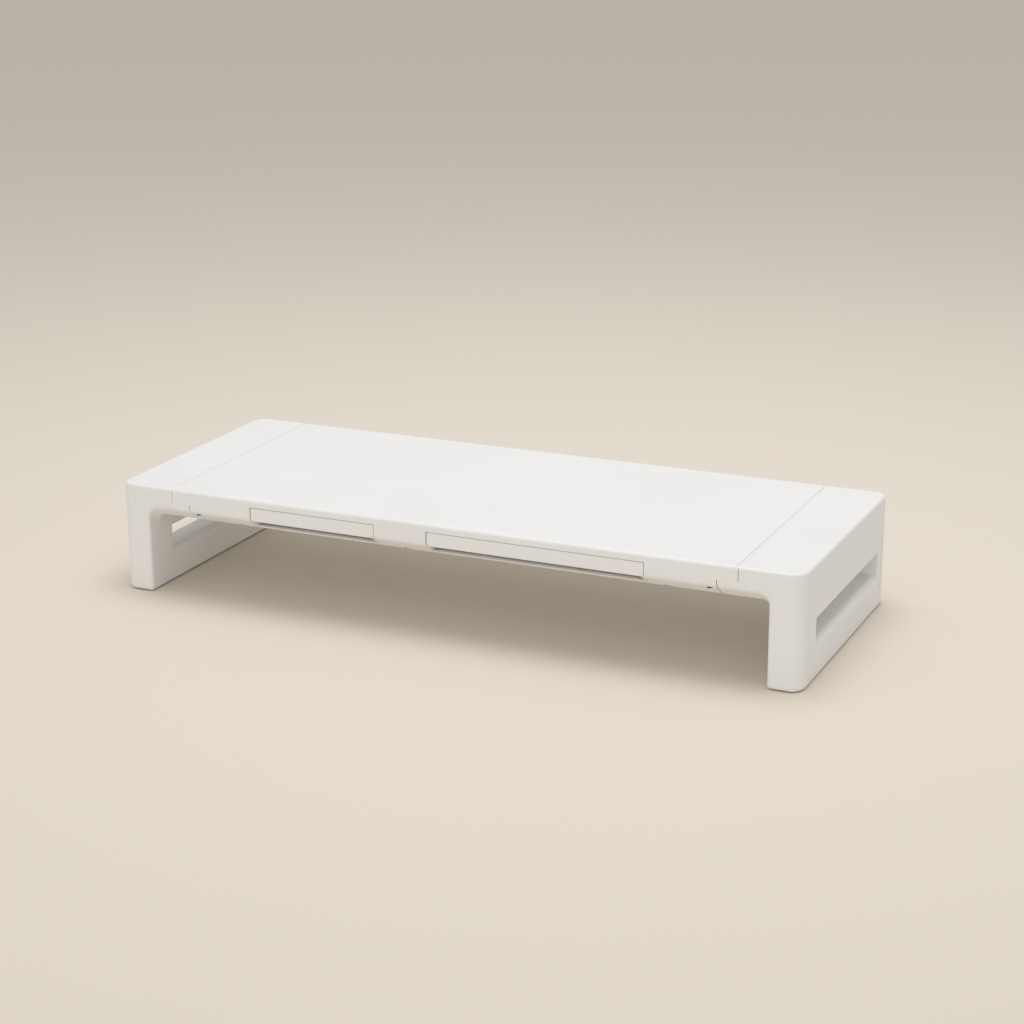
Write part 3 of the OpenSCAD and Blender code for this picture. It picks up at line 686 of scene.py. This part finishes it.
def make_pockets():
    """Walls beside and behind each drawer, as flat-sided prisms behind the shell's skin."""
    section = beam_outline(WALL + 0.02, PART_Z)
    front = section[section[:, 0] < -90]
    back_y = small_high[1] + 2
    profile = np.vstack([front, [(back_y, TOP_Z - WALL - 0.02), (back_y, PART_Z)]])
    pieces = []
    for k, (x0, x1) in enumerate(OPENINGS):
        sheet = Sheet()
        for a, b in ((x0 - 2, x0), (x1, x1 + 2)):
            low = np.column_stack([np.full(len(profile), a), profile])
            high = np.column_stack([np.full(len(profile), b), profile])
            sheet.add_grid(np.stack([low, high]), close_v=True)
            sheet.add_face(low)
            sheet.add_face(high, flip=True)
        around = rectangle([0, 0.5, 1], [0, 1])
        wall = []
        for y in (back_y, back_y + 2):
            wall.append(np.column_stack([x0 + 0.02 + around[:, 0] * (x1 - x0 - 0.04),
                                         np.full(len(around), y),
                                         PART_Z + around[:, 1] * (TOP_Z - WALL - PART_Z)]))
        sheet.add_grid(np.array(wall), close_v=True)
        sheet.add_face(wall[0])
        sheet.add_face(wall[1], flip=True)
        name = ("small", "wide")[k] + "_drawer_pocket"
        pieces.append(finish_piece(name, sheet.mesh(name), "stand", shell_white))
    return pieces


def make_cover():
    """The cover's closed section carried along the stand: its edges carry on the undercut and
    round off onto the flat underside. The screws sit in round counterbores that break through."""
    top = PART_Z - FIT_GAP
    run = UNDERCUT_D / (FOLD_Z - UNDER_Z)
    first = (FOLD_Z - top) * run
    depths = np.linspace(first, 17.6, 14)
    heights = under_height(depths)
    rim_y = HALF_D - UNDERCUT_D - 9
    floor = UNDER_Z + 2.4
    half = [(-rim_y - 2, floor), (-rim_y - 0.4, floor), (-rim_y, floor + 0.4), (-rim_y, top)]
    half += [(d - HALF_D, z) for d, z in zip(depths, heights)] + [(-90, UNDER_Z)]
    half = np.array(half)
    section = np.vstack([half, [(0, UNDER_Z)], half[::-1] * [-1, 1], [(0, floor)]])
    xs = np.linspace(-COVER_X, COVER_X, 25)
    grid = np.zeros((len(xs), len(section), 3))
    grid[..., 0] = xs[:, None]
    grid[..., 1:] = section[None]
    sheet = Sheet()
    sheet.add_grid(grid, close_v=True)
    sheet.add_face(grid[0])
    sheet.add_face(grid[-1], flip=True)
    head_r = 2.75
    screw_y = cover_screw_high[1] - head_r
    screw_xs = [OPENINGS[0][0] - 15, (small_high[0] + wide_low[0]) / 2, wide_high[0] + DRAWER_GAP + 15]
    bits = [drill_bit(x, s * screw_y, 60, UNDER_Z + 2.4, 4.25) for x in screw_xs for s in (-1, 1)]
    piece = finish_piece("bottom_cover_moulding", sheet.mesh("bottom_cover"), "stand", shell_white,
                         bevel=0.25, cutters=bits)
    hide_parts("bottom_cover")
    return piece


# ---- Drawers ----

def cheek_outline(section, start, bottom, recess_y):
    """The tray's section with the finger recess filled in, so that its lower edge follows the
    undercut from the tray's floor up to the front. Points from start on are the lower ones."""
    filled = section.copy()
    lower = filled[start:]
    in_recess = lower[:, 0] < recess_y + 1.6
    count = int(in_recess.sum())
    depths = np.linspace((FOLD_Z - bottom) * UNDERCUT_D / (FOLD_Z - UNDER_Z), 0.0, count)
    lower[in_recess] = np.column_stack([depths - HALF_D, np.maximum(under_height(depths), bottom)])
    lower[in_recess, 0] += 0.02
    return filled


def make_drawer(node, low, high):
    """A tray whose closed section runs over the hanging front, down into the tray, up its back
    and round below to the finger recess. Its ends are filled to the top edge as side walls."""
    x0, x1 = low[0], high[0]
    front_y, back_y = low[1], high[1]
    bottom = low[2]
    wall = 1.8
    lip_t, lip_low = 2.6, FOLD_Z - 0.7
    recess_y = front_y + 13
    web = FOLD_Z + 4
    top = DRAWER_TOP
    floor_r = 2.5
    outer = []
    for t in arc(0, 90, 4):
        outer.append((front_y + 0.7 - 0.7 * math.cos(t), top - 0.7 + 0.7 * math.sin(t)))
    inner = [(front_y + lip_t, top), (front_y + lip_t, web + wall), (recess_y + 0.2, web + wall)]
    inner += [(recess_y + wall, web + wall - 1.6), (recess_y + wall, bottom + wall + floor_r)]
    for t in arc(0, 90, 5):
        inner.append((recess_y + wall + floor_r - floor_r * math.cos(t),
                      bottom + wall + floor_r - floor_r * math.sin(t)))
    for y in (-60, -20, 20):
        inner.append((y, bottom + wall))
    inside_back = back_y - 4 - wall
    for t in arc(0, 90, 5):
        inner.append((inside_back - floor_r + floor_r * math.sin(t),
                      bottom + wall + floor_r - floor_r * math.cos(t)))
    inner.append((inside_back, top))
    below = [(back_y, top), (back_y, bottom), (recess_y + 1.5, bottom)]
    for t in arc(0, 90, 4):
        below.append((recess_y + 1.5 - 1.5 * math.sin(t), bottom + 1.5 - 1.5 * math.cos(t)))
    below += [(recess_y, web - 2)]
    for t in arc(0, 90, 4):
        below.append((recess_y - 2 + 2 * math.cos(t), web - 2 + 2 * math.sin(t)))
    below += [(front_y + lip_t + 0.5, web), (front_y + lip_t, web - 0.5), (front_y + lip_t, lip_low + 0.6),
              (front_y + lip_t - 0.6, lip_low), (front_y + 0.6, lip_low), (front_y, lip_low + 0.6)]
    open_section = np.array(outer + inner + below)
    solid_section = open_section.copy()
    solid_section[len(outer):len(outer) + len(inner), 1] = top
    rows = []
    round_r = 0.5
    cheek_section = cheek_outline(solid_section, len(outer) + len(inner), bottom, recess_y)
    for edge, way in ((x0, 1), (x1, -1)):
        part = []
        for t in arc(0, 90, 3):
            shrink = round_r * (1 - math.sin(t))
            moved = cheek_section.copy()
            moved[:, 0] = np.clip(moved[:, 0], front_y + shrink, back_y - shrink)
            moved[:, 1] = np.clip(moved[:, 1], bottom + shrink, top - shrink)
            part.append((edge + way * round_r * (1 - math.cos(t)), moved))
        part.append((edge + way * wall, cheek_section))
        part.append((edge + way * wall, open_section))
        rows.append(part)
    middle = [(x, open_section) for x in np.linspace(x0 + wall, x1 - wall, 8)[1:-1]]
    stations = rows[0] + middle + rows[1][::-1]
    grid = np.array([np.column_stack([np.full(len(section), x), section]) for x, section in stations])
    sheet = Sheet()
    sheet.add_grid(grid, close_v=True)
    sheet.add_face(grid[0])
    sheet.add_face(grid[-1], flip=True)
    piece = finish_piece(node + "_moulding", sheet.mesh(node), node, drawer_white,
                         bevel=0.2)
    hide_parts(node)
    return piece


make_leg(1)
make_leg(-1)
make_side_panel(1)
make_side_panel(-1)
make_top_shell()
make_pockets()
make_cover()
make_drawer("small_drawer", small_low, small_high)
make_drawer("wide_drawer", wide_low, wide_high)

# ---- Frame nodes that stay, with better materials ----

FINISHES = {
    "rail_white": rail_white, "rubber_grey": rubber_grey, "brace_steel": brace_steel,
    "screw_steel": screw_steel, "screw_black": screw_black,
    "shell_white": shell_white, "drawer_white": drawer_white,
}
for part in frame["record"]["subparts"]:
    for material_slot in frame["nodes"][part["node"]].material_slots:
        material_slot.material = FINISHES[part["material_slot"]]

# ---- Studio ----

def studio_material(name, colour, roughness=0.9):
    """Matte paper with a slow change of tone."""
    material = bpy.data.materials.new(name)
    material.use_nodes = True
    nodes, links = material.node_tree.nodes, material.node_tree.links
    shader = nodes["Principled BSDF"]
    place = nodes.new("ShaderNodeTexCoord")
    tone = nodes.new("ShaderNodeTexNoise")
    tone.inputs["Scale"].default_value = 1.2
    links.new(place.outputs["Object"], tone.inputs["Vector"])
    ramp = nodes.new("ShaderNodeValToRGB")
    ramp.color_ramp.elements[0].color = (*[c * 0.99 for c in colour], 1)
    ramp.color_ramp.elements[1].color = (*colour, 1)
    links.new(tone.outputs["Fac"], ramp.inputs["Fac"])
    links.new(ramp.outputs["Color"], shader.inputs["Base Color"])
    shader.inputs["Roughness"].default_value = roughness
    shader.inputs["Specular IOR Level"].default_value = 0.1
    return material


def make_floor():
    """A level disc of rings of points, wide enough that every view of the stand ends on it."""
    reach = 1000 * np.array([0.5, 1.0, 2.0, 4.0, 8.0, 16.0, 32.0])
    around = np.linspace(0, 2 * math.pi, 96, endpoint=False)
    points = np.zeros((len(reach), len(around), 3))
    points[..., 0] = reach[:, None] * np.cos(around)
    points[..., 1] = reach[:, None] * np.sin(around)
    sheet = Sheet()
    sheet.add_grid(points, close_v=True)
    sheet.add_face(points[0])
    floor = bpy.data.objects.new("studio_floor", sheet.mesh("studio_floor"))
    bpy.context.scene.collection.objects.link(floor)
    floor.data.materials.append(studio_material("studio_paper", (0.81, 0.745, 0.65)))
    return floor


def area_light(name, place, aim, size, power, colour=(1, 1, 1)):
    """A rectangular lamp at a place in metres, turned to face the point it aims at."""
    lamp = bpy.data.lights.new(name, "AREA")
    lamp.shape = "RECTANGLE"
    lamp.size, lamp.size_y = size
    lamp.energy = power
    lamp.color = colour
    light = bpy.data.objects.new(name, lamp)
    bpy.context.scene.collection.objects.link(light)
    light.location = place
    light.rotation_euler = (Vector(aim) - Vector(place)).to_track_quat("-Z", "Y").to_euler()
    return light


make_floor()
area_light("overhead_softbox", (0.1, 0.1, 1.7), (0, 0, 0), (1.2, 1.0), 12.6, (0.985, 0.99, 1.0))
area_light("front_strip", (0.2, -2.8, 0.45), (0, 0, 0.1), (3.0, 0.7), 10.4, (1.0, 0.95, 0.91))
area_light("left_glow", (-2.8, -0.3, 1.0), (0, 0, 0), (1.6, 1.4), 1.4, (1.0, 0.94, 0.88))

world = bpy.data.worlds.new("studio_air")
bpy.context.scene.world = world
world.use_nodes = True
world.node_tree.nodes["Background"].inputs["Color"].default_value = (1.0, 0.99, 0.975, 1)
world.node_tree.nodes["Background"].inputs["Strength"].default_value = 0.6

# ---- Camera ----

AZIMUTH, PITCH, ROLL = math.radians(24.817), math.radians(17.609), math.radians(-0.406)
FOCAL_WIDTHS = 2.15599609375            # focal length in widths of the frame
OFFSET = Vector((-9.49, 69.11, 1865.48))  # the stand's origin seen from the camera: right, down, ahead


def make_camera():
    """A camera from its three angles, set back so that the stand's origin lies at OFFSET."""
    ahead = Vector((-math.sin(AZIMUTH) * math.cos(PITCH),
                    math.cos(AZIMUTH) * math.cos(PITCH), -math.sin(PITCH)))
    level = Vector((math.cos(AZIMUTH), math.sin(AZIMUTH), 0))
    upright = level.cross(ahead)
    right = math.cos(ROLL) * level + math.sin(ROLL) * upright
    up = math.cos(ROLL) * upright - math.sin(ROLL) * level
    place = -(right * OFFSET.x - up * OFFSET.y + ahead * OFFSET.z) * MM
    lens = bpy.data.cameras.new("studio_camera")
    lens.sensor_width = 36
    lens.lens = 36 * FOCAL_WIDTHS
    lens.clip_start = 0.05
    lens.clip_end = 100
    camera = bpy.data.objects.new("studio_camera", lens)
    bpy.context.scene.collection.objects.link(camera)
    turn = Matrix((right, up, -ahead)).transposed().to_4x4()
    camera.matrix_world = Matrix.Translation(place) @ turn
    bpy.context.scene.camera = camera
    return camera


make_camera()
bpy.context.scene.view_settings.view_transform = "Standard"
bpy.context.scene.view_settings.look = "None"
